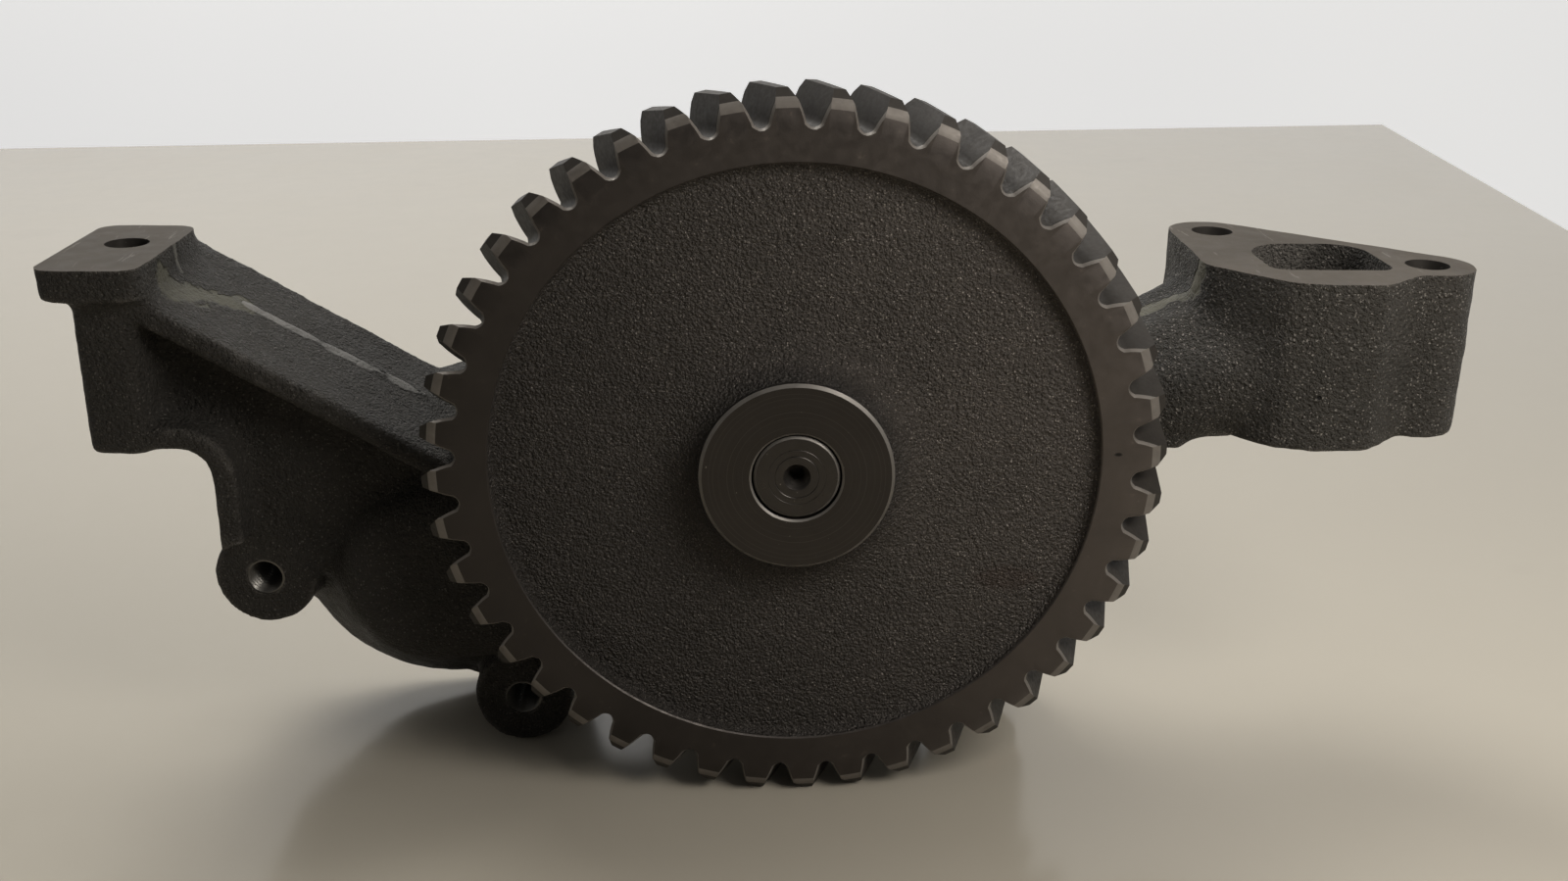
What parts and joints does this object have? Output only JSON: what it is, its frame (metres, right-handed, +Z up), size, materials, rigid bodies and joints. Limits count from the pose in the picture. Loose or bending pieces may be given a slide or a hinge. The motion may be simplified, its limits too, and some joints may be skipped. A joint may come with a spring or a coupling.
{
  "type": "engine oil pump",
  "caption": "Engine oil pump: helical drive gear on a through shaft, cast body with a bolt bracket and a flanged outlet, meshing pump gears and a sprung relief valve.",
  "frame": {"origin": "on the drive shaft's axis, at the front face of the drive gear's rim", "axes": "+Z up, square to the machined mounting faces; +Y back along the shafts, away from the drive gear; +X towards the outlet flange"},
  "size_m": [0.3573, 0.106, 0.1852],
  "materials": {
    "cast_iron_body": "as-cast sand grain with machined faces",
    "gear_steel": "forged web, machined rim and cut teeth",
    "shaft_steel": "ground",
    "bush_bronze": "turned bearing bronze",
    "fastener_steel": "plain zinc coated",
    "spring_steel": "drawn wire",
    "copper_seal": "soft copper"
  },
  "bodies": {
    "housing": {"pump_body": "cast_iron_body", "rear_cover": "cast_iron_body", "body_drive_bush": "bush_bronze", "body_driven_bush": "bush_bronze", "cover_drive_bush": "bush_bronze", "cover_driven_bush": "bush_bronze", "thrust_washer": "bush_bronze", "cover_bolts": "fastener_steel", "cover_washers": "fastener_steel", "cover_dowels": "shaft_steel", "relief_plug": "fastener_steel", "relief_plug_washer": "copper_seal", "relief_spring": "spring_steel", "outlet_core_plug": "fastener_steel"},
    "drive_train": {"drive_gear": "gear_steel", "drive_shaft": "shaft_steel", "pump_gear_key": "shaft_steel", "driving_pump_gear": "gear_steel"},
    "driven_train": {"driven_pump_gear": "gear_steel", "driven_shaft": "shaft_steel"},
    "relief_valve": {"relief_plunger": "shaft_steel"}
  },
  "joints": [
    {"name": "drive_spin", "type": "hinge", "parent": "housing", "child": "drive_train", "pos_m": [0, 0, 0], "axis": [0, 1, 0], "continuous": true},
    {"name": "driven_spin", "type": "hinge", "parent": "housing", "child": "driven_train", "pos_m": [0, 0, -0.045], "axis": [0, 1, 0], "continuous": true},
    {"name": "relief_slide", "type": "slide", "parent": "housing", "child": "relief_valve", "axis": [0, 0, -1], "range_m": [0, 0.008], "stiffness_N_per_m": 5000, "deforming": ["relief_spring"]}
  ],
  "couplings": [
    {"joint": "driven_spin", "follows": "drive_spin", "ratio": -1}
  ]
}
